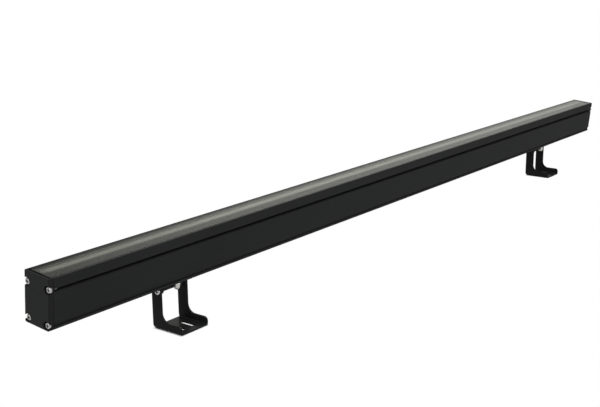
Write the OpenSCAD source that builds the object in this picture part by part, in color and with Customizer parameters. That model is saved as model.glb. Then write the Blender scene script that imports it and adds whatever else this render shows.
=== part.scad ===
// Outdoor wall washer light: a long extruded lamp body with a glass window on top, closed by two
// end caps, on two tilting feet whose clips slide along a slot under the body.
// Lengths are in millimetres. X runs along the lamp, the front faces -Y and Z is up.
// The origin is at the middle of the object's box, on the surface that the feet stand on.

/* [Lamp body] */
// Length of the lamp body over both end caps
body_l = 1000; // [600:10:1400]
// Width of the lamp body
body_w = 28; // [28:0.5:34]
// Height of the lamp body from its underside to the glass
body_h = 42; // [40.5:0.5:52]
// Lean of the lamp body towards the front at rest, in degrees
lean = 5.5; // [0:0.5:10]
// Radius of the long upper edges of the body
edge_r = 0.6; // [0.3:0.1:0.7]
// Radius of its long lower edges
base_edge_r = 2.2; // [1.5:0.1:2.5]

/* [Extrusion] */
// Thickness of the side walls and of the floor
wall_t = 1.8; // [1.5:0.1:2]
// Thickness of the thin rim beside the glass
rim_t = 0.8; // [0.6:0.1:1.2]
// Width of the ledge that carries the glass
ledge_w = 2; // [1.5:0.1:2.4]
// Thickness of the shelf that carries the light board
shelf_t = 2; // [1.5:0.1:3]
// Depth of the shelf's upper face below the top of the body
shelf_drop = 13.5; // [13:0.5:16]
// Reach of the slit along each side above the axis of the upper screws
groove_up = 0.6; // [0.3:0.1:0.8]
// Reach of that slit below the axis
groove_down = 1.8; // [1.3:0.1:2]
// Height of the rounding under the slit
groove_round_h = 2; // [1:0.1:2.4]
// Depth of that rounding
groove_round_d = 1; // [0.6:0.1:1]
// Height of the rounding that runs down to the low groove
low_groove_h = 4.2; // [3:0.1:5]
// Depth of the low groove
low_groove_d = 0.9; // [0.5:0.1:1]
// Height of the lip under the low groove
low_groove_z = 2.9; // [2.6:0.1:3.4]

/* [Slot under the body] */
// Width of the slot's mouth
slot_w = 3.4; // [3.3:0.1:4]
// Thickness of the lips beside the mouth
slot_lip_t = 1.5; // [1.2:0.1:2]
// Width of the chamber behind the lips
slot_in_w = 5.8; // [5.6:0.1:6.4]
// Height of that chamber
slot_in_h = 2.8; // [2.4:0.1:3.4]
// Thickness of the chamber's own walls
slot_wall_t = 1.1; // [0.9:0.1:1.6]

/* [End caps] */
// Thickness of an end cap
cap_t = 4; // [3.8:0.1:6]
// Thickness of the lip that the cap leaves in front of the glass
cap_lip_t = 1.2; // [1:0.1:1.8]
// Chamfer round the outer face of a cap
cap_chamfer = 0.3; // [0.2:0.1:0.6]
// Thickness of the gasket between a cap and the extrusion
gasket_t = 0.5; // [0.4:0.1:1]
// Distance from the side of the body to the upper screws
up_screw_in = 2; // [1.9:0.1:2.6]
// Depth of the upper screws below the top of the body
up_screw_drop = 9.3; // [8.6:0.1:10]
// Distance from the side of the body to the lower screws
low_screw_in = 3.2; // [3:0.1:4]
// Height of the lower screws above the underside
low_screw_z = 3.9; // [3.9:0.1:5]
// Radius of the round pockets for the screw heads
pocket_r = 3.6; // [3.2:0.1:3.7]
// Thickness of the cap left under a screw head
pocket_floor_t = 1.3; // [1:0.1:1.6]

/* [Screws] */
// Radius of the core channels that the cap screws cut into
core_r = 1.25; // [1.1:0.05:1.4]
// Thickness of the wall round a core channel
core_wall_t = 1.15; // [0.9:0.05:1.3]
// Nominal radius of the screws and the bolts
thread_r = 1.5; // [1.4:0.05:1.5]
// Radius of the screw heads
head_r = 2.75; // [2.5:0.05:2.9]
// Height of the screw heads
head_h = 1.9; // [1.6:0.1:2.2]
// Length of a cap screw under its head
cap_screw_l = 6; // [5:1:16]

/* [Glass and light] */
// Thickness of the glass
glass_t = 3; // [2.5:0.5:4]
// Thickness of the silicone bed under the glass
bed_t = 0.5; // [0.3:0.1:1]
// Distance from the end of the body to the end of the glass
glass_end = 3; // [2.6:0.1:3.4]
// Distance from the end of the body to the end of the lens
lens_end = 11; // [9:0.5:20]
// Width of the window in the black baffle
window_w = 9; // [8:0.5:9.5]
// Distance of the window's middle behind the middle of the body
window_y = 3.3; // [3:0.1:3.5]
// Thickness of the baffle
baffle_t = 0.7; // [0.6:0.1:0.8]
// Thickness of the light board
light_board_t = 1.6; // [1.2:0.1:2]
// Thickness of the thermal pad under the light board
pad_t = 0.4; // [0.3:0.1:0.8]
// Number of light emitting diodes
led_n = 36; // [12:1:48]
// Side of a diode
led_w = 3; // [2.4:0.1:3.5]
// Height of a diode
led_h = 0.7; // [0.5:0.1:1]

/* [Driver] */
// Length of the driver board
driver_l = 420; // [300:10:480]
// Height of the driver board above the underside of the body
driver_z = 9; // [8.5:0.5:11]
// Thickness of the driver board
driver_t = 1.6; // [1.2:0.1:2]
// Thickness of the ribs that hold the driver board
rib_t = 0.9; // [0.7:0.1:1.2]
// Reach of those ribs from the side walls
rib_w = 1.3; // [1:0.1:1.8]

/* [Cable gland] */
// Radius of the hole for the cable in the gland's rubber seal
cable_r = 3.25; // [2.5:0.05:3.5]
// Length of the rubber seal
gland_seal_l = 8; // [6:0.5:9]
// Radius of the gland's thread
gland_thread_r = 6; // [5.8:0.1:6.4]
// Width of the gland's hexagons across the flats
gland_af = 15; // [14.5:0.5:16]
// Thickness of the gland's hexagon on the cap
gland_hex_t = 3.5; // [3:0.5:5]
// Length of the gland's clamping nut
gland_nut_l = 12; // [11:0.5:14]

/* [Feet] */
// Distance from each end of the body to the middle of a foot
foot_in = 142; // [60:1:300]
// Width of a foot over its cheeks
foot_w = 32.4; // [31:0.2:36]
// Thickness of a foot's cheeks and base
foot_t = 1.5; // [1.2:0.1:2]
// Reach of a foot behind its pivot
foot_back = 7.8; // [7:0.1:7.9]
// Reach of the legs in front of the pivot
leg_front = 3; // [2.9:0.1:4]
// Reach of the base in front of the pivot
foot_front = 25.5; // [25:0.5:30]
// Height of the pivot above the underside of the foot
pivot_h = 34.2; // [32:0.2:42]
// Height of the rim along the base
rim_h = 7.5; // [6:0.5:9]
// Radius between leg and rim
leg_fillet_r = 8; // [5:0.5:9]
// Radius of the rim's upper front corner
rim_r = 3.5; // [2:0.5:4]
// Radius of the lower back corner
heel_r = 4; // [2.5:0.5:5]
// Outer radius of the edges between base and cheeks
fold_r = 2.4; // [1.8:0.1:2.8]
// Width of the two mounting slots in the base
foot_slot_w = 4.5; // [4.4:0.1:5.5]
// Length of the two mounting slots
foot_slot_l = 17; // [14:0.5:19]
// Distance between the middles of the two slots
foot_slot_gap = 11.8; // [11:0.2:14]
// Distance from the front of the base to a slot
foot_slot_in = 6.2; // [5:0.2:7]

/* [Hinge] */
// Height between the pivot and the underside of the body
pivot_drop = 8.1; // [8:0.1:12]
// Thickness of the hinge clip
clip_t = 1.5; // [1.2:0.1:1.8]
// Radius of the clip's ears round the pivot
ear_r = 3; // [2.8:0.1:3.4]
// Length of the clip's web in front of the slot bolt
clip_front = 4.5; // [3.5:0.5:6]
// Length of the clip's web behind the pivot
clip_back = 5; // [4:0.5:7]
// Thickness of the friction washers beside the ears
pivot_washer_t = 0.5; // [0.4:0.1:0.8]
// Thickness of the spring washer under the clip
spring_washer_t = 0.8; // [0.6:0.1:1]
// Width of the domed nut across the flats
dome_nut_af = 5.5; // [5.4:0.1:6]
// Height of the domed nut
dome_nut_h = 6.8; // [6:0.1:7.5]
// Side of the slot bolt's square head
bolt_head_w = 5.4; // [5:0.1:5.4]
// Height of the slot bolt's head
bolt_head_h = 2; // [1.6:0.1:2.2]

/* [Hidden] */

// Fineness of the round shapes
round_fn = 64;
dome_fn = 32;
hex_fn = 6;

// Overrun of every cut past the face that it opens
over = 0.5;
// Running clearance beside sliding and turning faces
slide_gap = 0.05;
// Clearance of pieces that are put in loosely
loose_gap = 0.1;
// Radial play between a screw and the thread that holds it
thread_gap = 0.02;
// Radial play of a screw in a plain hole
screw_play = 0.15;

// Levels and reaches of the extrusion, from its underside and its middle
half_w = body_w / 2;
tray_d = glass_t + bed_t;
tray_z = body_h - tray_d;
shelf_z = body_h - shelf_drop;
up_y = half_w - up_screw_in;
up_z = body_h - up_screw_drop;
low_y = half_w - low_screw_in;
low_z = low_screw_z;
core_out_r = core_r + core_wall_t;
profile_end = cap_t + gasket_t;
profile_l = body_l - 2 * profile_end;
slot_y = -low_y + core_r + slot_wall_t + slot_in_w / 2;
slot_roof_z = slot_lip_t + slot_in_h + slot_wall_t;
tray_w = body_w - 2 * rim_t;
opening_w = tray_w - 2 * ledge_w;

// The lens fills the window, right under the glass, and stands on the light board
light_board_w = window_w - 2 * loose_gap;
light_l = body_l - 2 * lens_end;
insert_l = light_l - 2 * loose_gap;
led_z = shelf_z + pad_t + light_board_t;
led_pitch = light_l / led_n;
baffle_z = tray_z + bed_t - loose_gap - baffle_t;
lens_h = baffle_z - led_z;
lens_crown = baffle_t;
lens_crown_r = (pow(light_board_w / 2, 2) + pow(lens_crown, 2)) / (2 * lens_crown);
lens_foot_w = (light_board_w - led_w) / 2 - 2 * loose_gap;

// The glass keeps a joint of silicone to the rims and to the caps' lips
glass_gap = 0.4;
glass_w = tray_w - 2 * glass_gap;
glass_l = body_l - 2 * glass_end;
glass_chamfer = 0.3;
seal_drop = 0.4;
bed_w = (glass_w - opening_w) / 2;

// The driver board fills the width between the side walls
driver_w = body_w - 2 * wall_t - 2 * loose_gap;
driver_end = gland_thread_r;
driver_x = body_l / 2 - profile_end - driver_end - gland_hex_t - driver_l / 2;
driver_room = shelf_z - shelf_t - driver_z - driver_t;
driver_headroom = 3.4;
terminal_headroom = 5.4;
coil_headroom = 6.4;
coil_r = 5;
coil_h = driver_room - coil_headroom;
cap_can_r = 4;
cap_can_h = driver_room - driver_headroom;
chip_w = 6;
chip_h = 1.8;
part_groups = 5;
terminal_w = 14;
terminal_d = 8;
terminal_h = driver_room - terminal_headroom;
terminal_hole_r = 1.6;
wire_r = 0.6;
wire_gap = 2;
wire_hole_r = 2.2;
wire_in = 4;

// The gland is measured outwards from the outer face of the far cap, halfway up the driver space
gland_z = (slot_roof_z + shelf_z - shelf_t) / 2;
gland_washer_t = 1;
gland_washer_r = gland_af / 2;
gland_bore_r = 3.9;
gland_wall_t = 1;
gland_seal_r = gland_thread_r - gland_wall_t;
gland_sleeve_l = 5.5;
gland_pocket_in = 1.5;
gland_locknut_t = 3;
gland_mouth_r = cable_r + 2 * glass_gap;
gland_dome_r = gland_mouth_r + gland_wall_t + loose_gap;
gland_dome_l = 5.5;
gland_shoulder_r = gland_af / 2 - 2 * loose_gap;
gland_hex_end = gland_washer_t + gland_hex_t;
gland_reach = gland_hex_end + gland_nut_l;
gland_seal_x = gland_hex_end - gland_pocket_in;

// The feet and the hinges are measured from the pivot
feet_gap = body_l - 2 * foot_in;
cheek_in = foot_w / 2 - foot_t;
ear_out = cheek_in - pivot_washer_t - 2 * slide_gap;
rim_z = rim_h - pivot_h;
foot_slot_y = foot_slot_in + foot_slot_l / 2 - foot_front;
web_z = pivot_drop - slide_gap - clip_t;
fold_in_r = fold_r - foot_t;
hex_ratio = 1 / cos(180 / hex_fn);
head_edge_r = 0.8;
drive_w = 0.7;
drive_l = 2.8;
drive_d = 1;

// Places in the object's frame
box_back = half_w * cos(lean) - pivot_drop * sin(lean);
pivot_y = (foot_front - box_back) / 2;
lamp_x = -gland_reach / 2;

// Puts what is drawn in the lamp's own frame into place: middle of the underside at its origin
module lamp_place() {
    translate([lamp_x, pivot_y, pivot_h]) rotate([lean, 0, 0]) translate([0, 0, pivot_drop]) children();
}

// Puts a foot's piece into place; the near foot stands at -X and the far one mirrors it
module foot_place(side) {
    translate([lamp_x + side * feet_gap / 2, pivot_y, pivot_h]) mirror([side > 0 ? 1 : 0, 0, 0]) children();
}

// Puts a clip's piece into place, measured from the pivot but leaning with the lamp
module clip_place(side) {
    translate([lamp_x + side * feet_gap / 2, pivot_y, pivot_h]) rotate([lean, 0, 0])
        mirror([side > 0 ? 1 : 0, 0, 0]) children();
}

// Puts what is drawn for the near end, with X inwards from the cap's outer face, at either end
module end_place(side) {
    lamp_place() mirror([side > 0 ? 1 : 0, 0, 0]) translate([-body_l / 2, 0, 0]) children();
}

// Extrudes an outline drawn across the lamp, as width and height, along X
module along_x(length) {
    rotate([90, 0, 90]) linear_extrude(length) children();
}

// Draws its children in the middle of the lamp's length
module mid_along_x(length) {
    translate([-length / 2, 0, 0]) along_x(length) children();
}

// A rod along X
module rod_x(r, length, fn = round_fn) {
    rotate([0, 90, 0]) cylinder(r = r, h = length, $fn = fn);
}

// A rectangle with round corners, standing on the middle of its lower side
module round_rect(w, h, r) {
    translate([-w / 2, r]) square([w, h - 2 * r]);
    translate([-w / 2 + r, 0]) square([w - 2 * r, h]);
    for (sx = [-1, 1], z = [r, h - r]) translate([sx * (w / 2 - r), z]) circle(r, $fn = dome_fn);
}

// The same shape on both sides of the lamp's middle plane
module both_sides() {
    for (m = [0, 1]) mirror([m, 0]) children();
}

// A rectangle by its limits
module span(y0, y1, z0, z1) {
    translate([y0, z0]) square([y1 - y0, z1 - z0]);
}

// Places of the four screws of a cap
module at_cap_screws() {
    for (sy = [-1, 1]) {
        translate([0, sy * up_y, up_z]) children();
        translate([0, sy * low_y, low_z]) children();
    }
}

// Outer section of the body: small upper and larger lower corner radii
module body_outline() {
    span(-half_w, half_w, base_edge_r, body_h - edge_r);
    span(base_edge_r - half_w, half_w - base_edge_r, 0, body_h);
    span(edge_r - half_w, half_w - edge_r, base_edge_r, body_h);
    both_sides() {
        translate([half_w - base_edge_r, base_edge_r]) circle(base_edge_r, $fn = round_fn);
        translate([half_w - edge_r, body_h - edge_r]) circle(edge_r, $fn = dome_fn);
    }
}

// What is cut out of a side wall where it rounds inwards over a height, down to a groove of full depth
module groove_rounding(depth, height) {
    r = (depth * depth + height * height) / (2 * depth);
    difference() {
        span(-depth, over, 0, height);
        translate([-r, height]) circle(r, $fn = round_fn);
    }
}

// Section of the extrusion: an outer tube with a glass tray, an optics space, a shelf and a driver space
module housing_section() {
    difference() {
        union() {
            difference() {
                body_outline();
                span(-tray_w / 2, tray_w / 2, tray_z, body_h + over);
                span(-opening_w / 2, opening_w / 2, shelf_z, tray_z + over);
                span(wall_t - half_w, half_w - wall_t, wall_t, shelf_z - shelf_t);
            }
            intersection() {
                body_outline();
                both_sides() {
                    translate([up_y, up_z]) circle(core_out_r, $fn = round_fn);
                    translate([low_y, low_z]) circle(core_out_r, $fn = round_fn);
                    span(low_y, half_w, 0, low_z);
                }
            }
            span(slot_y - slot_in_w / 2 - slot_wall_t, slot_y + slot_in_w / 2 + slot_wall_t, 0, slot_roof_z);
            both_sides() for (z = [driver_z - loose_gap - rib_t, driver_z + driver_t + loose_gap])
                span(half_w - wall_t - rib_w, half_w - wall_t + loose_gap, z, z + rib_t);
        }
        both_sides() {
            translate([up_y, up_z]) circle(core_r, $fn = round_fn);
            translate([low_y, low_z]) circle(core_r, $fn = round_fn);
            span(up_y, half_w + over, up_z - groove_down, up_z + groove_up);
            translate([half_w, up_z - groove_down]) mirror([0, 1])
                groove_rounding(groove_round_d, groove_round_h);
            translate([half_w, low_groove_z]) groove_rounding(low_groove_d, low_groove_h);
        }
        span(slot_y - slot_w / 2, slot_y + slot_w / 2, -over, slot_lip_t + over);
        span(slot_y - slot_in_w / 2, slot_y + slot_in_w / 2, slot_lip_t, slot_lip_t + slot_in_h);
    }
}

// The long aluminium extrusion, with a hole in the shelf for the link wires
module housing_profile() {
    color([0.13, 0.14, 0.14]) lamp_place() difference() {
        mid_along_x(profile_l) housing_section();
        translate([driver_x, window_y - window_w / 2 - wire_in, shelf_z - shelf_t - over])
            cylinder(r = wire_hole_r, h = shelf_t + 2 * over, $fn = round_fn);
    }
}

// Tempered glass with ground edges
module glass_cover() {
    color([0.55, 0.58, 0.57, 0.5]) lamp_place() mid_along_x(glass_l) translate([0, tray_z + bed_t]) polygon([
        [-glass_w / 2, 0], [glass_w / 2, 0], [glass_w / 2, glass_t - glass_chamfer],
        [glass_w / 2 - glass_chamfer, glass_t], [-glass_w / 2 + glass_chamfer, glass_t],
        [-glass_w / 2, glass_t - glass_chamfer]]);
}

// Black silicone: a bed under the glass's border and the joint round it
module glass_seal() {
    seal_l = body_l - 2 * cap_lip_t;
    color([0.05, 0.05, 0.05]) lamp_place() difference() {
        mid_along_x(seal_l) span(-tray_w / 2, tray_w / 2, tray_z, body_h - seal_drop);
        mid_along_x(glass_l) span(-glass_w / 2, glass_w / 2, tray_z + bed_t, body_h + over);
        mid_along_x(glass_l - 2 * bed_w)
            span(bed_w - glass_w / 2, glass_w / 2 - bed_w, tray_z - over, body_h);
    }
}

// Black baffle: a plate with a long window, on four legs that stand on the shelf
module baffle() {
    plate_w = opening_w - 2 * loose_gap;
    plate_l = glass_l - 2 * bed_w - 2 * loose_gap;
    leg_l = window_w / 2 + baffle_t;
    color([0.07, 0.07, 0.07]) lamp_place() {
        difference() {
            mid_along_x(plate_l) span(-plate_w / 2, plate_w / 2, baffle_z, baffle_z + baffle_t);
            mid_along_x(light_l)
                span(window_y - window_w / 2, window_y + window_w / 2, baffle_z - over, body_h);
        }
        for (y = [window_y - leg_l, window_y + window_w / 2])
            mid_along_x(light_l) span(y, y + baffle_t, shelf_z, baffle_z);
        for (sx = [-1, 1]) translate([sx * light_l / 2 - (sx < 0 ? baffle_t : 0), window_y - leg_l, shelf_z])
            cube([baffle_t, 2 * leg_l, baffle_z - shelf_z]);
    }
}

// Clear lens bar with a channel over the diodes and a crowned top
module lens_strip() {
    lens_w = light_board_w;
    color([0.8, 0.82, 0.8, 0.6]) lamp_place() mid_along_x(insert_l) translate([window_y, led_z])
        difference() {
            intersection() {
                span(-lens_w / 2, lens_w / 2, 0, lens_h + lens_crown);
                translate([0, lens_h + lens_crown - lens_crown_r]) circle(lens_crown_r, $fn = round_fn);
            }
            span(lens_foot_w - lens_w / 2, lens_w / 2 - lens_foot_w, -over, led_h + 2 * loose_gap);
        }
}

// Aluminium-core board that carries the diodes
module light_board() {
    color([0.9, 0.9, 0.88]) lamp_place() mid_along_x(insert_l) translate([window_y, shelf_z + pad_t])
        span(-light_board_w / 2, light_board_w / 2, 0, light_board_t);
}

// The diodes, evenly spaced along the board
module leds() {
    color([0.95, 0.9, 0.6]) lamp_place() for (i = [0 : led_n - 1])
        translate([(i + 1 / 2) * led_pitch - light_l / 2 - led_w / 2, window_y - led_w / 2, led_z])
            cube([led_w, led_w, led_h]);
}

// Soft pad that carries the heat from the light board to the shelf
module thermal_pad() {
    color([0.45, 0.55, 0.6]) lamp_place() mid_along_x(insert_l) translate([window_y, shelf_z])
        span(-light_board_w / 2, light_board_w / 2, 0, pad_t);
}

// Driver board, held between the ribs of the extrusion
module driver_board() {
    color([0.1, 0.3, 0.15]) lamp_place() translate([driver_x - driver_l / 2, 0, driver_z]) along_x(driver_l)
        span(-driver_w / 2, driver_w / 2, 0, driver_t);
}

// Coils, capacitors and chips in equal groups along the driver board
module driver_parts() {
    top = driver_z + driver_t;
    group_pitch = (driver_l - terminal_w * 2) / part_groups;
    color([0.25, 0.25, 0.28]) lamp_place() for (i = [0 : part_groups - 1])
        translate([driver_x - driver_l / 2 + (i + 1 / 2) * group_pitch, 0, top]) {
            translate([-group_pitch / 4, 0, 0]) difference() {
                cylinder(r = coil_r, h = coil_h, $fn = dome_fn);
                translate([0, 0, coil_h / 2]) cylinder(r = coil_r / 2, h = coil_h, $fn = dome_fn);
            }
            translate([0, coil_r / 2, 0]) cylinder(r = cap_can_r, h = cap_can_h, $fn = dome_fn);
            translate([group_pitch / 4, -chip_w / 2, 0]) cube([chip_w, chip_w, chip_h]);
        }
}

// Terminal block for the supply lead, at the gland's end of the driver board
module terminal_block() {
    color([0.2, 0.45, 0.3]) lamp_place()
        translate([driver_x + driver_l / 2 - terminal_d, -terminal_w / 2, driver_z + driver_t]) difference() {
            cube([terminal_d, terminal_w, terminal_h]);
            for (i = [-1, 0, 1])
                translate([terminal_d / 2, terminal_w / 2 + i * terminal_w / 3, terminal_h / 2])
                    rod_x(terminal_hole_r, terminal_d, dome_fn);
        }
}

// Two wires that rise from the driver board through the shelf and bend over to the light board
module link_wires() {
    wire_y = window_y - window_w / 2 - wire_in;
    wire_foot = driver_z + driver_t;
    wire_top = led_z + wire_r;
    color([0.6, 0.1, 0.1]) lamp_place() for (sx = [-1, 1])
        translate([driver_x + sx * wire_gap / 2, wire_y, wire_top]) {
            mirror([0, 0, 1]) cylinder(r = wire_r, h = wire_top - wire_foot, $fn = dome_fn);
            sphere(wire_r, $fn = dome_fn);
            rotate([-90, 0, 0]) cylinder(r = wire_r, h = wire_in - baffle_t - loose_gap, $fn = dome_fn);
        }
}

// Outer shape of a cap, X inwards from its outer face, chamfered round that face
module cap_plate() {
    c = cap_chamfer;
    difference() {
        along_x(cap_t) body_outline();
        for (m = [0, 1]) mirror([0, m, 0]) translate([0, 0, -over]) linear_extrude(body_h + 2 * over)
            polygon([[-over, half_w + over], [-over, half_w - c - over], [c + over, half_w + over]]);
        for (top = [0, 1]) translate([0, half_w + over, top * body_h]) mirror([0, 0, top]) rotate([90, 0, 0])
            linear_extrude(body_w + 2 * over) polygon([[-over, -over], [c + over, -over], [-over, c + over]]);
    }
}

// A cap: screw pockets that break out of its sides, and a step at the top that carries the glass's end
module end_cap() {
    difference() {
        cap_plate();
        at_cap_screws() {
            translate([-over, 0, 0]) rod_x(pocket_r, cap_t - pocket_floor_t + over);
            rod_x(thread_r + screw_play, cap_t + over);
        }
        translate([cap_lip_t, 0, 0]) along_x(cap_t) span(-tray_w / 2, tray_w / 2, tray_z, body_h + over);
    }
}

module end_cap_near() {
    color([0.14, 0.15, 0.15]) end_place(-1) end_cap();
}

module end_cap_far() {
    color([0.14, 0.15, 0.15]) end_place(1) difference() {
        end_cap();
        translate([-over, 0, gland_z]) rod_x(gland_thread_r + slide_gap, cap_t + 2 * over);
    }
}

// Silicone frame between a cap and the extrusion
module end_gasket(side) {
    low_in = low_y - core_out_r;
    wall_in = half_w - wall_t;
    color([0.06, 0.06, 0.06]) end_place(side) translate([cap_t, 0, 0]) difference() {
        along_x(gasket_t) body_outline();
        translate([-over, 0, 0]) along_x(gasket_t + 2 * over) {
            span(-tray_w / 2, tray_w / 2, tray_z, body_h + over);
            span(-low_in, low_in, slot_roof_z, shelf_z - shelf_t);
            span(-wall_in, wall_in, low_z + core_out_r, shelf_z - shelf_t);
        }
        at_cap_screws() translate([-over, 0, 0]) rod_x(thread_r + 2 * screw_play, gasket_t + 2 * over);
    }
}

// A pan head with its outer edge rounded, a cross recess and a shank; X points from the head's top inwards
module pan_screw(shank_r, shank_l) {
    e = head_edge_r;
    difference() {
        union() {
            rotate([0, 90, 0]) rotate_extrude($fn = round_fn) {
                square([head_r - e, head_h]);
                translate([0, e]) square([head_r, head_h - e]);
                intersection() {
                    translate([head_r - e, e]) circle(e, $fn = dome_fn);
                    square([head_r, e]);
                }
            }
            translate([head_h, 0, 0]) rod_x(shank_r, shank_l);
        }
        for (a = [0, 90]) rotate([a, 0, 0]) translate([-over, -drive_l / 2, -drive_w / 2])
            cube([drive_d + over, drive_l, drive_w]);
    }
}

module cap_screws(side) {
    color([0.75, 0.75, 0.74]) end_place(side) at_cap_screws()
        translate([cap_t - pocket_floor_t - head_h, 0, 0]) pan_screw(core_r - thread_gap, cap_screw_l);
}

// Puts what is drawn with X outwards from the far cap's outer face onto the gland's axis
module gland_place() {
    lamp_place() translate([body_l / 2, 0, gland_z]) children();
}

// A hexagonal bar along X, by its width across the flats, with flats above and below
module hex_x(af, length) {
    rotate([180 / hex_fn, 0, 0]) rod_x(af / 2 * hex_ratio, length, hex_fn);
}

module gland_body() {
    color([0.12, 0.12, 0.12]) gland_place() difference() {
        union() {
            translate([-cap_t - gasket_t - gland_locknut_t, 0, 0])
                rod_x(gland_thread_r, cap_t + gasket_t + gland_locknut_t + gland_hex_end + gland_sleeve_l);
            translate([gland_washer_t, 0, 0]) hex_x(gland_af, gland_hex_t);
        }
        translate([-body_h, 0, 0]) rod_x(gland_bore_r, 2 * body_h);
        translate([gland_seal_x, 0, 0]) rod_x(gland_seal_r, body_h);
    }
}

// Rubber seal that grips the supply lead
module gland_seal() {
    color([0.2, 0.2, 0.2]) gland_place() translate([gland_seal_x, 0, 0]) difference() {
        rod_x(gland_seal_r - thread_gap, gland_seal_l);
        translate([-over, 0, 0]) rod_x(cable_r, gland_seal_l + 2 * over);
    }
}

// Clamping nut: a hexagon that runs out into a rounded nose
module gland_nut() {
    seal_end = gland_seal_x + gland_seal_l - gland_hex_end;
    color([0.12, 0.12, 0.12]) gland_place() translate([gland_hex_end, 0, 0]) difference() {
        union() {
            translate([slide_gap, 0, 0]) hex_x(gland_af, gland_nut_l - gland_dome_l - slide_gap);
            translate([gland_nut_l - gland_dome_l, 0, 0]) rotate([0, 90, 0]) rotate_extrude($fn = round_fn)
                polygon([[0, -over], [gland_shoulder_r, -over], [gland_shoulder_r, 0],
                    [gland_dome_r, gland_dome_l], [0, gland_dome_l]]);
        }
        translate([-over, 0, 0]) rod_x(gland_thread_r + thread_gap, gland_sleeve_l + slide_gap + over);
        translate([-over, 0, 0]) rod_x(gland_seal_r, seal_end + slide_gap + over);
        rod_x(gland_mouth_r, gland_nut_l + over);
    }
}

// Rubber ring between the gland and the cap
module gland_washer() {
    color([0.05, 0.05, 0.05]) gland_place() difference() {
        rod_x(gland_washer_r, gland_washer_t);
        translate([-over, 0, 0]) rod_x(gland_thread_r + slide_gap, gland_washer_t + 2 * over);
    }
}

// Nut that holds the gland from inside the cap
module gland_locknut() {
    color([0.12, 0.12, 0.12]) gland_place() translate([-cap_t - gland_locknut_t, 0, 0]) difference() {
        hex_x(gland_af, gland_locknut_t);
        translate([-over, 0, 0]) rod_x(gland_thread_r + thread_gap, gland_locknut_t + 2 * over);
    }
}

// Side outline of a foot, front to the left as on the lamp: leg, fillet, rim and rounded corners
module foot_outline() {
    difference() {
        union() {
            intersection() {
                circle(foot_back, $fn = round_fn);
                span(-leg_front, foot_back, -leg_front, foot_back);
            }
            span(-leg_front, foot_back, -pivot_h, 0);
            span(-foot_front, foot_back, -pivot_h, rim_z - rim_r);
            span(rim_r - foot_front, foot_back, -pivot_h, rim_z);
            translate([rim_r - foot_front, rim_z - rim_r]) circle(rim_r, $fn = round_fn);
            span(-leg_front - leg_fillet_r, 0, rim_z - rim_r, rim_z + leg_fillet_r);
        }
        translate([-leg_front - leg_fillet_r, rim_z + leg_fillet_r]) circle(leg_fillet_r, $fn = round_fn);
        translate([foot_back, -pivot_h]) difference() {
            span(-heel_r, over, -over, heel_r);
            translate([-heel_r, heel_r]) circle(heel_r, $fn = round_fn);
        }
    }
}

// Section of a foot across its cheeks: a channel with rounded folds
module foot_section() {
    difference() {
        translate([0, -pivot_h]) round_rect(foot_w, pivot_h + 2 * foot_back, fold_r);
        translate([0, foot_t - pivot_h]) round_rect(2 * cheek_in, pivot_h + 3 * foot_back, fold_in_r);
    }
}

// A slot that runs along Y, from its middle, cut through the base
module foot_slot() {
    reach = foot_slot_l / 2 - foot_slot_w / 2;
    translate([0, 0, -over]) {
        for (sy = [-1, 1]) translate([0, sy * reach, 0])
            cylinder(r = foot_slot_w / 2, h = foot_t + 2 * over, $fn = round_fn);
        translate([-foot_slot_w / 2, -reach, 0]) cube([foot_slot_w, 2 * reach, foot_t + 2 * over]);
    }
}

// A foot: a folded channel cut to the side outline, with two slots and the pivot holes
module foot_bracket(side) {
    color([0.13, 0.14, 0.14]) foot_place(side) difference() {
        intersection() {
            translate([0, foot_back + over, 0]) rotate([90, 0, 0])
                linear_extrude(foot_back + foot_front + 2 * over) foot_section();
            translate([-foot_w, 0, 0]) along_x(2 * foot_w) foot_outline();
        }
        for (sx = [-1, 1]) translate([sx * foot_slot_gap / 2, foot_slot_y, -pivot_h]) foot_slot();
        translate([-foot_w, 0, 0]) rod_x(thread_r + screw_play, foot_w);
        rod_x(thread_r + thread_gap, foot_w);
    }
}

// Pivot screw: head on the side of the lamp's end, held in the thread of the other cheek
module pivot_screw(side) {
    color([0.75, 0.75, 0.74]) foot_place(side) translate([-foot_w / 2 - head_h, 0, 0])
        pan_screw(thread_r, foot_w);
}

// Friction washers between the clip's ears and the cheeks
module pivot_washers(side) {
    color([0.2, 0.2, 0.2]) foot_place(side) for (m = [0, 1]) mirror([m, 0, 0])
        translate([cheek_in - pivot_washer_t, 0, 0]) difference() {
            rod_x(ear_r, pivot_washer_t);
            translate([-over, 0, 0]) rod_x(thread_r + slide_gap, pivot_washer_t + 2 * over);
        }
}

// Side outline of the clip's ears, from the pivot
module ear_outline() {
    top = pivot_drop - slide_gap;
    front = slot_y - clip_front;
    circle(ear_r, $fn = round_fn);
    polygon([[-ear_r, 0], [ear_r, 0], [clip_back, top], [front, top], [front, web_z], [-ear_r, web_z]]);
}

// Hinge clip: a web under the lamp with two ears down to the pivot
module hinge_clip(side) {
    color([0.1, 0.1, 0.1]) clip_place(side) difference() {
        intersection() {
            translate([-ear_out, 0, 0]) along_x(2 * ear_out) ear_outline();
            translate([0, clip_back + body_w, 0]) rotate([90, 0, 0]) linear_extrude(2 * body_w + clip_back)
                difference() {
                    span(-ear_out, ear_out, -ear_r, pivot_drop);
                    span(clip_t - ear_out, ear_out - clip_t, -ear_r - over, web_z);
                }
        }
        translate([-ear_out - over, 0, 0]) rod_x(thread_r + slide_gap, 2 * ear_out + 2 * over);
        translate([0, slot_y, 0]) cylinder(r = thread_r + screw_play, h = pivot_drop + over, $fn = round_fn);
    }
}

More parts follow.
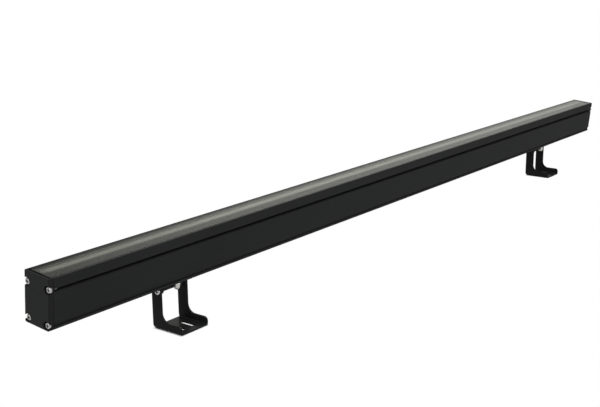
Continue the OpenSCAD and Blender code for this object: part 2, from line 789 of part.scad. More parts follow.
// Slot bolt: its square head slides in the chamber, its shank passes the mouth and the clip
module slot_bolt(side) {
    head_z = pivot_drop + slot_lip_t + slide_gap;
    end_z = web_z - spring_washer_t - dome_nut_h + dome_nut_af / 2;
    color([0.7, 0.7, 0.68]) clip_place(side) translate([0, slot_y, 0]) {
        translate([-bolt_head_w / 2, -bolt_head_w / 2, head_z]) cube([bolt_head_w, bolt_head_w, bolt_head_h]);
        translate([0, 0, end_z]) cylinder(r = thread_r, h = head_z - end_z, $fn = round_fn);
    }
}

module spring_washer(side) {
    hole_r = thread_r + screw_play;
    color([0.7, 0.7, 0.68]) clip_place(side) translate([0, slot_y, web_z - spring_washer_t]) difference() {
        cylinder(r = dome_nut_af / 2, h = spring_washer_t, $fn = round_fn);
        translate([0, 0, -over]) cylinder(r = hole_r, h = spring_washer_t + 2 * over, $fn = round_fn);
    }
}

// Domed nut on the slot bolt, dome down
module dome_nut(side) {
    dome_r = dome_nut_af / 2 - loose_gap;
    hex_h = dome_nut_h - dome_r - thread_r / 2;
    color([0.8, 0.8, 0.79]) clip_place(side) translate([0, slot_y, web_z - spring_washer_t]) difference() {
        union() {
            translate([0, 0, -hex_h]) cylinder(r = dome_nut_af / 2 * hex_ratio, h = hex_h, $fn = hex_fn);
            translate([0, 0, dome_r - dome_nut_h]) cylinder(r = dome_r, h = thread_r, $fn = round_fn);
            translate([0, 0, dome_r - dome_nut_h]) sphere(dome_r, $fn = round_fn);
        }
        translate([0, 0, dome_nut_af / 2 - dome_nut_h])
            cylinder(r = thread_r + thread_gap, h = dome_nut_h, $fn = round_fn);
    }
}

housing_profile();
glass_cover();
glass_seal();
baffle();
lens_strip();
light_board();
leds();
thermal_pad();
driver_board();
driver_parts();
terminal_block();
link_wires();
end_cap_near();
end_cap_far();
end_gasket(-1);  // end_gasket_near
end_gasket(1);  // end_gasket_far
cap_screws(-1);  // cap_screws_near
cap_screws(1);  // cap_screws_far
gland_body();
gland_nut();
gland_seal();
gland_washer();
gland_locknut();
hinge_clip(-1);  // hinge_clip_near
hinge_clip(1);  // hinge_clip_far
slot_bolt(-1);  // slot_bolt_near
slot_bolt(1);  // slot_bolt_far
spring_washer(-1);  // spring_washer_near
spring_washer(1);  // spring_washer_far
dome_nut(-1);  // dome_nut_near
dome_nut(1);  // dome_nut_far
foot_bracket(-1);  // foot_bracket_near
foot_bracket(1);  // foot_bracket_far
pivot_screw(-1);  // pivot_screw_near
pivot_screw(1);  // pivot_screw_far
pivot_washers(-1);  // pivot_washers_near
pivot_washers(1);  // pivot_washers_far
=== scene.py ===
"""Looks of the outdoor wall washer light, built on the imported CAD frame. Lengths are in millimetres
until a mesh is made; every object stands at the origin, unturned, with its place in its mesh."""
import math

import bmesh
import bpy
import numpy as np
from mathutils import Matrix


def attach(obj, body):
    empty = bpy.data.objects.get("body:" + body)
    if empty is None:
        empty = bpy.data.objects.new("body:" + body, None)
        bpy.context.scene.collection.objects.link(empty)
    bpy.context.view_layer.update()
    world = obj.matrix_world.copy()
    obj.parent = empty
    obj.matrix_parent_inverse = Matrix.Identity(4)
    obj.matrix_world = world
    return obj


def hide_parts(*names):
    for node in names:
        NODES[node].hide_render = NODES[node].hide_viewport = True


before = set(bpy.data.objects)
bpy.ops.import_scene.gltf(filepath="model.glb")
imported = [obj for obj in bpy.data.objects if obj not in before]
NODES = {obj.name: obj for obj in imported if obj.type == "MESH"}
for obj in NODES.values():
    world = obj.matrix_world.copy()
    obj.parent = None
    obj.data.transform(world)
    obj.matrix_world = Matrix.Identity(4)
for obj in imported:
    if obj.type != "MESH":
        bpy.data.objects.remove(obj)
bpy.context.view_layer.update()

MM = 0.001
TAU = 2 * math.pi

# The part's own sizes, as in its source: the lamp and the pivots that it leans on
BODY_L, BODY_W = 1000.0, 28.0
LEAN = math.radians(5.5)
LAMP_X, PIVOT_Y, PIVOT_H, DROP = -8.25, 6.1704, 34.2, 8.1
FOOT_X, FOOT_W = 358.0, 32.4

# End caps, the places of their upper and lower screws, and the screws
CAP_T, CAP_FLOOR = 4.0, 1.3
UP_Y, UP_Z, LOW_Y, LOW_Z = 12.0, 32.7, 10.8, 3.9
HEAD_R, HEAD_H, PITCH = 2.75, 1.9, 0.5
CAP_SCREW_R, CAP_SCREW_L, BOLT_R = 1.22, 6.0, 1.49

# Fixing slot, and the clip's sheet, play, spring washer and nut under it
SLOT_Y, SLOT_LIP = -5.55, 1.5
SHEET, PLAY, WASHER_T, NUT_FLATS, BOLT_PAST_WASHER = 1.5, 0.05, 0.8, 5.5, 4.0
WEB_Z = DROP - PLAY - SHEET

# Cable gland
GLAND_Z, GLAND_FLATS, GLAND_CORNER, GRIP_RIBS = 15.95, 15.0, 8.66, 24

# Light window, diodes and driver
WINDOW_Y, WINDOW_W = 3.3, 9.0
LED_Z, LED_COUNT, LED_ROW = 30.5, 36, 978.0
DRIVER_X, DRIVER_L, DRIVER_TOP, DRIVER_ROOM, DRIVER_BLOCKS = 276.0, 420.0, 10.6, 15.9, 5

# How flat two faces must meet to be shaded as one
SMOOTH_TO = math.radians(40.0)


def lamp(p):
    """Points of the lamp's own frame (middle of its underside) to the part's frame."""
    p = np.asarray(p, float)
    c, s = math.cos(LEAN), math.sin(LEAN)
    y, z = p[..., 1], p[..., 2] + DROP
    return np.stack([p[..., 0] + LAMP_X, PIVOT_Y + y * c - z * s, PIVOT_H + y * s + z * c], -1)


def foot_map(side):
    """Points measured from a foot's pivot to the part's frame; the far foot mirrors the near one."""
    def place(p):
        p = np.asarray(p, float)
        x = LAMP_X + side * FOOT_X - side * p[..., 0]
        return np.stack([x, PIVOT_Y + p[..., 1], PIVOT_H + p[..., 2]], -1)
    return place


def clip_map(side):
    """Points of a clip, measured from the pivot and leaning with the lamp."""
    def place(p):
        p = np.asarray(p, float)
        return lamp(np.stack([side * FOOT_X - side * p[..., 0], p[..., 1], p[..., 2] - DROP], -1))
    return place


def along(origin, axis, frame_map=lamp):
    """Places a turned shape (a, b, u): u runs from origin along +X (1), -X (-1), up (2) or down (-2)."""
    o = np.asarray(origin, float)

    def place(p):
        a, b, u = p[..., 0], p[..., 1], p[..., 2]
        if abs(axis) == 1:
            q = np.stack([axis * u, a, b], -1)
        else:
            q = np.stack([a, b, u if axis > 0 else -u], -1)
        return frame_map(q + o)

    return place


# Meshes

def surface(rows, caps=(False, False)):
    """Vertices and faces of a grid of points (n rows, m points, 3), each row closed to a ring. A cap
    closes the first or the last row with a fan to its middle."""
    n, m = rows.shape[:2]
    i, j = np.meshgrid(np.arange(n - 1), np.arange(m), indexing="ij")
    i, j = i.ravel(), j.ravel()
    j1 = (j + 1) % m
    v = [rows.reshape(-1, 3)]
    f = np.stack([i * m + j, i * m + j1, (i + 1) * m + j1, (i + 1) * m + j], -1).tolist()
    base, a = n * m, np.arange(m)
    for end, row in ((0, 0), (1, n - 1)):
        if caps[end]:
            v.append(rows[row].mean(0)[None])
            f += np.stack([np.full(m, base), row * m + a, row * m + (a + 1) % m], -1).tolist()
            base += 1
    return np.vstack(v), f


def turned(profile, n=48, radius=None, caps=(False, False)):
    """Surface of revolution: each row (r, u) of the profile gives the ring (r cos t, r sin t, u).
    radius(r, t, u) may reshape the rings."""
    prof = np.asarray(profile, float)
    t = np.arange(n) * TAU / n
    r, u = np.repeat(prof[:, :1], n, 1), np.repeat(prof[:, 1:], n, 1)
    tt = np.broadcast_to(t, r.shape)
    if radius is not None:
        r = radius(r, tt, u)
    return surface(np.stack([r * np.cos(tt), r * np.sin(tt), u], -1), caps=caps)


def arc(r, u, a0, a1, rad, n):
    """Points (r + rad cos a, u + rad sin a) of an arc, with a from a0 to a1 degrees."""
    a = np.radians(np.linspace(a0, a1, n))
    return np.stack([r + rad * np.cos(a), u + rad * np.sin(a)], -1)


def placed(part, place, paint=0):
    """A part's points put in place. paint is the number of its material, or one number per face."""
    v, f = part
    return place(v), f, paint


def piece(name, parts, looks, body, replaces=()):
    """One object out of placed parts (vertices, faces, paint), in millimetres. Its doubles are merged and
    its faces turned outwards."""
    bm = bmesh.new()
    for v, f, paint in parts:
        mesh = bpy.data.meshes.new("part")
        mesh.from_pydata((np.asarray(v) * MM).tolist(), [], f)
        mesh.polygons.foreach_set("material_index", np.full(len(f), paint, np.int32))
        bm.from_mesh(mesh)
        bpy.data.meshes.remove(mesh)
    bmesh.ops.remove_doubles(bm, verts=bm.verts, dist=2e-6)
    bmesh.ops.recalc_face_normals(bm, faces=bm.faces)
    mesh = bpy.data.meshes.new(name)
    bm.to_mesh(mesh)
    bm.free()
    obj = bpy.data.objects.new(name, mesh)
    bpy.context.scene.collection.objects.link(obj)
    for look in looks:
        mesh.materials.append(LOOKS[look])
    mesh.shade_smooth()
    mesh.set_sharp_from_angle(angle=SMOOTH_TO)
    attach(obj, body)
    if replaces:
        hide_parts(*replaces)


def hexagon(af):
    """Limits a ring to a hexagon of width af across its flats: r = min(r, af / 2 / cos d), where d is
    the angle from the nearest flat's middle."""
    def limit(r, t, u):
        d = np.mod(t + TAU / 12, TAU / 6) - TAU / 12
        return np.minimum(r, af / 2 / np.cos(d))
    return limit


def rounded_box(a, b, power):
    """Turns a ring of relative radius r / 1 into a box a by b with round corners:
    r / (|cos t / a|^power + |sin t / b|^power)^(1 / power)."""
    def shape(r, t, u):
        return r * (np.abs(np.cos(t) / a) ** power + np.abs(np.sin(t) / b) ** power) ** (-1 / power)
    return shape


def pan_head():
    """Head of a pan screw with a cross recess, u from its top inwards: a crowned disc
    u = crown (rho / r)^2, rounded over its edge, whose cross of half-width w sinks by
    d (1 - (rho / reach)^2) within walls that slope over s; then its side and its flat underside.
    Its paint is 2, a darker steel painted as shade, in the recess, on the side and round the underside, and 0
    elsewhere."""
    n, r, h, edge = 96, HEAD_R, HEAD_H, 0.8
    crown, w, reach, s, d = 0.12, 0.42, 1.7, 0.14, 1.3
    over_edge = r - edge + edge * np.sin(np.radians(np.linspace(11, 90, 8)))
    rho = np.concatenate([np.linspace(0.05, r - edge, 30), over_edge])
    R, T = np.meshgrid(rho, np.arange(n) * TAU / n, indexing="ij")
    over = np.clip((R - r + edge) / edge, 0, 1)
    u = crown * (R / r) ** 2 + edge * (1 - np.sqrt(1 - over ** 2 * 0.9999))
    x, y = R * np.cos(T), R * np.sin(T)
    wing = np.minimum(np.abs(x), np.abs(y))
    inside = np.clip((w - wing) / s + 0.5, 0, 1) * np.clip((reach - R) / s, 0, 1)
    top = np.stack([x, y, u + inside * d * np.clip(1 - (R / reach) ** 2, 0.3, 1)], -1)
    ring = top[-1] * [1, 1, 0]
    side = np.stack([ring + [0, 0, z] for z in (h - 0.1, h)] + [ring * 0.5 + [0, 0, h]])
    v, f = surface(np.concatenate([top, side]), caps=(True, True))
    # the faces come in rows: the top's, three of the side, the fan in the top's middle, the underside's
    # paint 2 marks the faces that get painted shade: the recess, the head's side and its underside
    dark = np.concatenate([inside[:-1] > 0.3, np.ones((4, n), bool)]).ravel()
    paint = np.zeros(len(f), np.int32)
    paint[:len(dark)] = 2 * dark
    return (v, f), paint


def thread(r, depth, u0, u1, n=24):
    """Screw thread from u0 to u1: r(t, u) = r - depth |2 frac(u / pitch - t / 2 pi) - 1|, tapered over
    its last turn."""
    per_turn = 6
    u = np.linspace(u0, u1, max(4, int((u1 - u0) / PITCH * per_turn)))[:, None]
    t = np.arange(n)[None] * TAU / n
    saw = np.abs(2 * np.mod(u / PITCH - t / TAU, 1) - 1)
    taper = np.clip((u1 - u) / (0.9 * PITCH) * 0.35 + 0.65, 0.65, 1)
    rr = (r - depth * saw) * taper
    rows = np.stack([rr * np.cos(t), rr * np.sin(t), np.broadcast_to(u, rr.shape)], -1)
    return surface(rows, caps=(True, True))


def pan_screw(place, r, depth, length, n=24):
    """A pan head and the thread behind it, the thread painted with the second material."""
    head, paint = pan_head()
    return [placed(head, place, paint), placed(thread(r, depth, HEAD_H, HEAD_H + length, n), place, 1)]


def tube(path, r):
    """Round tube of radius r about a path of points: each ring stands square to the path's direction d,
    on side = d x (1, 0, 0) and up = d x side."""
    n, p = 12, np.asarray(path, float)
    d = np.gradient(p, axis=0)
    d /= np.linalg.norm(d, axis=1)[:, None]
    side = np.cross(d, [1.0, 0.0, 0.0])
    side /= np.linalg.norm(side, axis=1)[:, None]
    up = np.cross(d, side)
    t = (np.arange(n) * TAU / n)[None, :, None]
    rings = p[:, None] + r * (np.cos(t) * side[:, None] + np.sin(t) * up[:, None])
    return surface(rings, caps=(True, True))


# Nodes of materials

def node(tree, kind, **values):
    """New node. Each value goes to the input of that name, or else to the node's own setting."""
    n = tree.nodes.new(kind)
    for key, value in values.items():
        if key in n.inputs:
            n.inputs[key].default_value = value
        else:
            setattr(n, key, value)
    return n


def feed(tree, socket, value):
    """Gives a socket a value of its own, or links it where value is another node's output."""
    if isinstance(value, bpy.types.NodeSocket):
        tree.links.new(value, socket)
    else:
        socket.default_value = value


def group(name, ins, outs):
    """New node group with its input and output nodes. ins are (label, kind, value), outs (label, kind)."""
    g = bpy.data.node_groups.new(name, "ShaderNodeTree")
    for label, kind, value in ins:
        g.interface.new_socket(label, in_out="INPUT", socket_type=kind).default_value = value
    for label, kind in outs:
        g.interface.new_socket(label, in_out="OUTPUT", socket_type=kind)
    return g, g.nodes.new("NodeGroupInput"), g.nodes.new("NodeGroupOutput")


def calc(tree, operation, *values):
    """Math node on numbers or sockets."""
    n = node(tree, "ShaderNodeMath", operation=operation)
    for socket, value in zip(n.inputs, values):
        feed(tree, socket, value)
    return n.outputs[0]


def vector(tree, operation, a, b):
    """Vector Math node on vectors or sockets."""
    n = node(tree, "ShaderNodeVectorMath", operation=operation)
    feed(tree, n.inputs[0], a)
    feed(tree, n.inputs[1], b)
    return n.outputs["Value" if operation == "DOT_PRODUCT" else "Vector"]


def ranged(tree, source, low, high, to_low=0.0, to_high=1.0, smooth=False):
    """Map Range from source's [low, high] to [to_low, to_high]."""
    n = node(tree, "ShaderNodeMapRange", interpolation_type="SMOOTHSTEP" if smooth else "LINEAR")
    feed(tree, n.inputs["Value"], source)
    for label, value in (("From Min", low), ("From Max", high), ("To Min", to_low), ("To Max", to_high)):
        feed(tree, n.inputs[label], value)
    return n.outputs["Result"]


def curve(tree, source, stops, low=0.0, high=1.0):
    """Grey from a source that runs from 0 to 1, by straight lines between stops (x, grey), where x runs
    from low to high."""
    n = node(tree, "ShaderNodeValToRGB")
    e = n.color_ramp.elements
    for k, (x, v) in ((0, stops[0]), (1, stops[-1])):
        e[k].position = (x - low) / (high - low)
        e[k].color = (v, v, v, 1)
    for x, v in stops[1:-1]:
        e.new((x - low) / (high - low)).color = (v, v, v, 1)
    feed(tree, n.inputs["Fac"], source)
    return n.outputs["Color"]


def curve_mm(tree, distance, stops, low, high):
    """The same along a distance in metres, with its stops in millimetres."""
    return curve(tree, ranged(tree, distance, low * MM, high * MM), stops, low, high)


def mixed(tree, factor, a, b):
    """Colour mix from a to b, each a colour or a socket. A Mix node's colours are its inputs 6 and 7."""
    n = node(tree, "ShaderNodeMix", data_type="RGBA")
    feed(tree, n.inputs["Factor"], factor)
    for socket, value in ((n.inputs[6], a), (n.inputs[7], b)):
        feed(tree, socket, (*value, 1) if isinstance(value, tuple) else value)
    return n.outputs[2]


def mixed_value(tree, factor, a, b):
    """Mix of two numbers or sockets, which are a Mix node's inputs 2 and 3."""
    n = node(tree, "ShaderNodeMix", data_type="FLOAT")
    feed(tree, n.inputs["Factor"], factor)
    feed(tree, n.inputs[2], a)
    feed(tree, n.inputs[3], b)
    return n.outputs[0]


def lamp_places(tree):
    """Distances in the lamp's own frame, in metres: along, across from the middle plane, and up."""
    place = node(tree, "ShaderNodeTexCoord").outputs["Object"]
    c, s = math.cos(LEAN), math.sin(LEAN)
    axes = (((1, 0, 0), LAMP_X),
            ((0, c, s), PIVOT_Y * c + PIVOT_H * s),
            ((0, -s, c), PIVOT_H * c - PIVOT_Y * s + DROP))
    return [calc(tree, "SUBTRACT", vector(tree, "DOT_PRODUCT", place, axis), at * MM) for axis, at in axes]


# Shared finishes, and the painted window light and painted shade of grooves and cap sides

def finish_group():
    """Shade: a stretched fine noise and a coarse one, half each. The edge output: where a small bevel would
    turn the normal, in patches, for a lighter colour that is partly edge wear and partly a painted
    highlight. Normal: that bevel's, with the fine noise as its bump."""
    number, direction = "NodeSocketFloat", "NodeSocketVector"
    g, i, o = group("finish", [("Scale", number, 900.0), ("Bump", number, 0.2),
                               ("Stretch", direction, (1, 1, 1)), ("Edge", number, 0.0004)],
                    [("Shade", number), ("WearAndHighlight", number), ("Normal", direction)])
    place = node(g, "ShaderNodeTexCoord").outputs["Object"]
    fine = node(g, "ShaderNodeTexNoise", Detail=3.0, Roughness=0.6)
    feed(g, fine.inputs["Vector"], vector(g, "MULTIPLY", place, i.outputs["Stretch"]))
    feed(g, fine.inputs["Scale"], i.outputs["Scale"])
    coarse = node(g, "ShaderNodeTexNoise", Scale=14.0, Detail=4.0)
    feed(g, coarse.inputs["Vector"], place)
    both = calc(g, "ADD", fine.outputs["Fac"], coarse.outputs["Fac"])
    feed(g, o.inputs["Shade"], calc(g, "MULTIPLY", both, 0.5))

    bevel = node(g, "ShaderNodeBevel", samples=4)
    feed(g, bevel.inputs["Radius"], i.outputs["Edge"])
    normal = node(g, "ShaderNodeNewGeometry").outputs["Normal"]
    flat = vector(g, "DOT_PRODUCT", bevel.outputs[0], normal)
    # edges for a lighter colour: partly edge wear, partly a painted highlight where light would catch them
    patches = ranged(g, coarse.outputs["Fac"], 0.3, 0.6, 0.4, 1.0)
    feed(g, o.inputs["WearAndHighlight"], calc(g, "MULTIPLY", ranged(g, flat, 0.995, 0.85), patches))

    bump = node(g, "ShaderNodeBump", Distance=0.0001)
    feed(g, bump.inputs["Strength"], i.outputs["Bump"])
    feed(g, bump.inputs["Height"], fine.outputs["Fac"])
    feed(g, bump.inputs["Normal"], bevel.outputs[0])
    feed(g, o.inputs["Normal"], bump.outputs[0])
    return g


def painted_window_light_group():
    """Painted light of the window, 0 to 1, standing in for the light on the lens and round it: a curve over
    the distance across the lamp, times a fade at both ends of the window, times a slow rise from the near
    end towards the middle."""
    g, _, o = group("painted_window_light", [], [("Light", "NodeSocketFloat")])
    x, y, _ = lamp_places(g)
    # painted light: rises steeply at the front of the window and falls off slowly towards the back
    across = curve_mm(g, y, [(-2.0, 0.0), (-0.9, 0.10), (0.0, 0.38), (1.0, 0.76), (2.0, 0.97), (3.0, 1.0),
                             (4.2, 0.94), (5.2, 0.86), (6.2, 0.76), (7.2, 0.62), (8.2, 0.38), (9.3, 0.0)],
                      -4.0, 10.0)
    end, lit = 0.4955, 0.4915
    ends = calc(g, "MULTIPLY", ranged(g, x, -end, -lit, smooth=True), ranged(g, x, end, lit, smooth=True))
    # painted falloff: the window light dims towards the near end
    rise = ranged(g, x, -0.45, -0.2, 0.72, 1.0, smooth=True)
    feed(g, o.inputs["Light"], calc(g, "MULTIPLY", calc(g, "MULTIPLY", ends, across), rise))
    return g


def painted_shade_group():
    """Painted shade: how much of its colour the extrusion keeps in its side grooves (first output), less the
    deeper in, and an end cap on its sides and in a band along its corner edges (second output): curves
    over how far a point lies in from the side, the first one below the glass only."""
    g, _, o = group("painted_groove_shade", [], [("Shade", "NodeSocketFloat"), ("Side", "NodeSocketColor")])
    _, y, z = lamp_places(g)
    depth = calc(g, "SUBTRACT", BODY_W / 2 * MM, calc(g, "ABSOLUTE", y))
    # painted shade in the grooves: full colour on the side face, down to a tenth of it 2 mm in
    groove = curve_mm(g, depth, [(0.0, 1.0), (0.3, 0.8), (0.6, 0.5), (1.0, 0.3), (2.0, 0.1), (2.3, 0.14),
                                 (3.0, 0.7), (4.0, 1.0)], 0.0, 4.0)
    full_below, none_above = 0.0362, 0.0368
    feed(g, o.inputs["Shade"], calc(g, "MAXIMUM", ranged(g, z, full_below, none_above), groove))
    # painted shade on an end cap: its side faces darker, darkest in a band just inside its corner edges
    side = curve_mm(g, depth, [(0.0, 0.66), (0.15, 0.5), (0.7, 0.55), (1.4, 1.0), (4.0, 1.0)], 0.0, 4.0)
    feed(g, o.inputs["Side"], side)
    return g


FINISH = finish_group()
PAINTED_SHADE_GROUP = painted_shade_group()
PAINTED_WINDOW_LIGHT = painted_window_light_group()
LOOKS = {}


def material(name, dark, light, rough=(0.4, 0.5), metal=0.0, spec=0.5, scale=900.0, bump=0.2,
             stretch=(1, 1, 1), edge=0.0004, wear_and_highlight=None, window=None, painted_shade_colour=None, painted_shade_output="Shade",
             sheen_up=0.0):
    """Principled material, kept in LOOKS, whose colour and roughness run between two values by the
    finish's shade, with another colour on its edges in patches, partly edge wear and partly a painted
    highlight. Its window colour is a painted glow where the light window sits, its groove colour the
    darkest of a painted shade by the shade group's chosen output, and sheen_up the coat on what faces up."""
    m = bpy.data.materials.new(name)
    m.use_nodes = True
    t = m.node_tree
    p = t.nodes["Principled BSDF"]
    g = node(t, "ShaderNodeGroup", node_tree=FINISH)
    for label, value in (("Scale", scale), ("Bump", bump), ("Stretch", stretch), ("Edge", edge)):
        g.inputs[label].default_value = value
    colour = mixed(t, ranged(t, g.outputs["Shade"], 0.35, 0.65), dark, light)
    # lighter edges: partly edge wear, partly a painted highlight
    if wear_and_highlight:
        colour = mixed(t, g.outputs["WearAndHighlight"], colour, wear_and_highlight)
    # painted glow: a lighter colour where the light window sits
    if window:
        painted_glow = node(t, "ShaderNodeGroup", node_tree=PAINTED_WINDOW_LIGHT)
        colour = mixed(t, painted_glow.outputs["Light"], colour, window)
    # painted shade: a darker colour in the grooves and on the caps' sides
    if painted_shade_colour:
        kept = node(t, "ShaderNodeGroup", node_tree=PAINTED_SHADE_GROUP)
        colour = mixed(t, kept.outputs[painted_shade_output], painted_shade_colour, colour)
    if sheen_up:
        up = node(t, "ShaderNodeSeparateXYZ")
        feed(t, up.inputs[0], node(t, "ShaderNodeNewGeometry").outputs["Normal"])
        feed(t, p.inputs["Coat Weight"], ranged(t, up.outputs["Z"], 0.5, 0.95, 0.0, sheen_up, smooth=True))
        p.inputs["Coat Roughness"].default_value = 0.3
    feed(t, p.inputs["Base Color"], colour)
    feed(t, p.inputs["Roughness"], ranged(t, g.outputs["Shade"], 0.3, 0.7, *rough))
    feed(t, p.inputs["Normal"], g.outputs["Normal"])
    p.inputs["Metallic"].default_value = metal
    p.inputs["Specular IOR Level"].default_value = spec
    LOOKS[name] = m


def clear_glass():
    """Clear glass, nearly polished. Shadow rays pass straight through it, a little dimmed."""
    m = bpy.data.materials.new("clear_glass")
    m.use_nodes = True
    t = m.node_tree
    p = t.nodes["Principled BSDF"]
    p.inputs["Base Color"].default_value = (0.96, 0.96, 0.925, 1)
    p.inputs["Transmission Weight"].default_value = 1.0
    p.inputs["IOR"].default_value = 1.5
    noise = node(t, "ShaderNodeTexNoise", Scale=60.0, Detail=5.0)
    feed(t, noise.inputs["Vector"], node(t, "ShaderNodeTexCoord").outputs["Object"])
    feed(t, p.inputs["Roughness"], ranged(t, noise.outputs["Fac"], 0.3, 0.7, 0.004, 0.01))
    clear = node(t, "ShaderNodeBsdfTransparent", Color=(0.86, 0.9, 0.88, 1))
    mix = node(t, "ShaderNodeMixShader")
    feed(t, mix.inputs[0], node(t, "ShaderNodeLightPath").outputs["Is Shadow Ray"])
    feed(t, mix.inputs[1], p.outputs[0])
    feed(t, mix.inputs[2], clear.outputs[0])
    feed(t, t.nodes["Material Output"].inputs["Surface"], mix.outputs[0])
    LOOKS["clear_glass"] = m


def black(v):
    """The photo's blacks lean a little to green."""
    return (v * 0.95, v * 1.02, v * 0.98)


def grey(v):
    return (v, v, v)


# The lamp's outside
# housing: grooves darkened with painted shade; its lighter edges are partly a painted highlight
material("anodised", black(0.0165), black(0.0205), (0.5, 0.6), spec=0.03, scale=700, bump=0.12,
         stretch=(0.03, 1, 1), edge=0.0005, wear_and_highlight=black(0.036), painted_shade_colour=black(0.0012), sheen_up=0.8)
# end caps: sides and corner band darkened with painted shade; lighter edges partly a painted highlight
material("cap_coat", black(0.0175), black(0.0215), (0.5, 0.6), spec=0.05, scale=2600, bump=0.35,
         wear_and_highlight=black(0.034), painted_shade_colour=black(0.0012), painted_shade_output="Side", sheen_up=0.25)
material("silicone", black(0.005), black(0.008), (0.6, 0.7), spec=0.03, scale=1500, bump=0.3, edge=0.0003)
# baffle: a painted glow where the light window sits
material("baffle_black", black(0.008), black(0.011), (0.8, 0.9), spec=0.1, scale=3000, bump=0.3, edge=0.0002,
         window=(0.202, 0.202, 0.184))
# frosted lens: nearly all its brightness is the painted window light
material("frosted_lens", grey(0.012), grey(0.014), (0.7, 0.8), spec=0.1, scale=1800, bump=0.15,
         stretch=(0.2, 1, 1), window=(0.295, 0.295, 0.265))
material("nylon", black(0.012), black(0.018), (0.42, 0.52), spec=0.4, scale=1600, bump=0.25,
         wear_and_highlight=black(0.035))
material("rubber", black(0.010), black(0.014), (0.65, 0.75), spec=0.2, scale=1800, bump=0.3, edge=0.0003)
clear_glass()

# Feet, clips and screws
material("foot_coat", black(0.0125), black(0.016), (0.45, 0.55), spec=0.04, scale=2400, bump=0.25,
         edge=0.0006, wear_and_highlight=black(0.025), sheen_up=0.8)
material("clip_coat", black(0.006), black(0.009), (0.5, 0.6), spec=0.03, scale=2400, bump=0.25,
         wear_and_highlight=black(0.02))
material("stainless", (0.38, 0.38, 0.37), (0.46, 0.46, 0.45), (0.26, 0.36), metal=1.0, scale=3500, bump=0.12,
         edge=0.0002, wear_and_highlight=(0.5, 0.5, 0.49))
# dark steel for the pivot bolt's shank: painted shade, as the shank sits in the lamp's shadow
material("shank_steel_painted_shade", black(0.012), black(0.018), (0.5, 0.6), spec=0.15, scale=3500, bump=0.15,
         edge=0.0002)
# darker steel for the cap screws' threads: painted shade that dims them in the groove slits
material("thread_steel_painted_shade", grey(0.10), grey(0.16), metal=1.0, scale=3500, bump=0.15, edge=0.0002)
# darker steel painted into the screw recesses and round the heads' sides as shade
material("recess_steel_painted_shade", grey(0.12), grey(0.17), metal=1.0, scale=3500, bump=0.1, edge=0.0001)
material("nickel", (0.43, 0.42, 0.40), (0.50, 0.49, 0.46), (0.18, 0.26), metal=1.0, scale=2500, bump=0.06,
         edge=0.0002, wear_and_highlight=(0.55, 0.54, 0.51))

# Inside the lamp
material("white_resist", grey(0.75), grey(0.82), (0.35, 0.45), scale=500, bump=0.05)
material("led_package", grey(0.8), grey(0.86), (0.3, 0.4), scale=1500, bump=0.05)
material("phosphor", (0.85, 0.6, 0.12), (0.95, 0.72, 0.2), (0.25, 0.35), scale=4000, edge=0.0002)
material("thermal_pad", (0.25, 0.33, 0.40), (0.30, 0.38, 0.45), (0.6, 0.7), scale=1500, bump=0.3)
material("green_resist", (0.01, 0.10, 0.035), (0.015, 0.15, 0.05), (0.3, 0.4), scale=220, bump=0.1,
         stretch=(1, 4, 1))
material("components", grey(0.03), grey(0.05), (0.35, 0.5), bump=0.1, wear_and_highlight=grey(0.1))
material("enamelled_copper", (0.45, 0.16, 0.06), (0.6, 0.24, 0.1), (0.25, 0.35), metal=1.0, scale=1500,
         bump=0.1)
material("can_sleeve", (0.02, 0.025, 0.05), (0.03, 0.035, 0.07), (0.3, 0.4), scale=1200, bump=0.05)
material("terminal_green", (0.03, 0.2, 0.10), (0.04, 0.26, 0.13), (0.35, 0.45), bump=0.1,
         wear_and_highlight=(0.08, 0.35, 0.2))
material("wire_red", (0.4, 0.015, 0.015), (0.5, 0.02, 0.02), (0.35, 0.45), scale=1200, bump=0.1)


# Finishes of the CAD's own pieces

def both_ends(*names):
    return [name + end for name in names for end in ("_near", "_far")]


DRESSED = {
    "anodised": ["housing_profile"],
    "clear_glass": ["glass_cover"],
    "silicone": ["glass_seal", *both_ends("end_gasket")],
    "baffle_black": ["baffle"],
    "frosted_lens": ["lens_strip"],
    "cap_coat": both_ends("end_cap"),
    "nylon": ["gland_body", "gland_nut", "gland_locknut"],
    "rubber": ["gland_seal", "gland_washer", *both_ends("pivot_washers")],
    "foot_coat": both_ends("foot_bracket"),
    "clip_coat": both_ends("hinge_clip"),
    "stainless": both_ends("cap_screws", "slot_bolt", "spring_washer", "pivot_screw"),
    "nickel": both_ends("dome_nut"),
    "white_resist": ["light_board"],
    "phosphor": ["leds"],
    "thermal_pad": ["thermal_pad"],
    "green_resist": ["driver_board"],
    "components": ["driver_parts"],
    "terminal_green": ["terminal_block"],
    "wire_red": ["link_wires"],
}
for look, names in DRESSED.items():
    for name in names:
        for slot in NODES[name].material_slots:
            slot.material = LOOKS[look]


def seal_glass_edges():
    """The pane is sealed black where its faces turn from flat: on its sides and their chamfers."""
    flat = 0.9
    pane = NODES["glass_cover"].data
    pane.materials.append(LOOKS["silicone"])
    for face in pane.polygons:
        if abs(face.normal.z) < flat:
            face.material_index = len(pane.materials) - 1


seal_glass_edges()


# Screws, nuts and washers

def cap_screws(end, side):
    """Four pan screws on the floors of a cap's pockets."""
    head_top = side * (BODY_L / 2 - CAP_T + CAP_FLOOR + HEAD_H)
    parts = []
    for front in (-1, 1):
        for y, z in ((UP_Y, UP_Z), (LOW_Y, LOW_Z)):
            parts += pan_screw(along((head_top, front * y, z), -side), CAP_SCREW_R, 0.2, CAP_SCREW_L)
    # threads and recesses take darker steels, painted as shade
    piece("cap_screw_set_" + end, parts, ["stainless", "thread_steel_painted_shade", "recess_steel_painted_shade"], "lamp",
          ["cap_screws_" + end])


